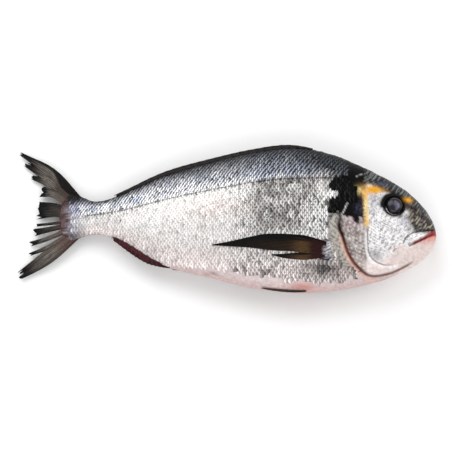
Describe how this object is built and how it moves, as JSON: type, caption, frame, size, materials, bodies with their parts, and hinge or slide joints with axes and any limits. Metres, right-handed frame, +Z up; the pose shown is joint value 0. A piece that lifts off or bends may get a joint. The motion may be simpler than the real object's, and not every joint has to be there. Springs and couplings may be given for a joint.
{
  "type": "whole raw sea bream",
  "caption": "Whole raw silver sea bream lying on its left side, fins folded, mouth and gill cover shut, ready to gut, display or cook.",
  "frame": {"origin": "on the table, under the middle of the fish's box", "axes": "+X from tail to snout, +Y from belly to back, +Z up from the table, from the left flank to the right flank"},
  "size_m": [0.3204, 0.1184, 0.0411],
  "materials": {
    "skin": "wet silver scales, blue-grey back, pinkish white belly",
    "fin": "moist dark olive fin web over bony rays",
    "lip": "moist pink-red flesh at lips, gill rim and vent",
    "eye": "clear wet cornea over a dark iris"
  },
  "bodies": {
    "root": {"fish": "skin", "eye_right": "eye", "eye_left": "eye"}
  },
  "joints": []
}
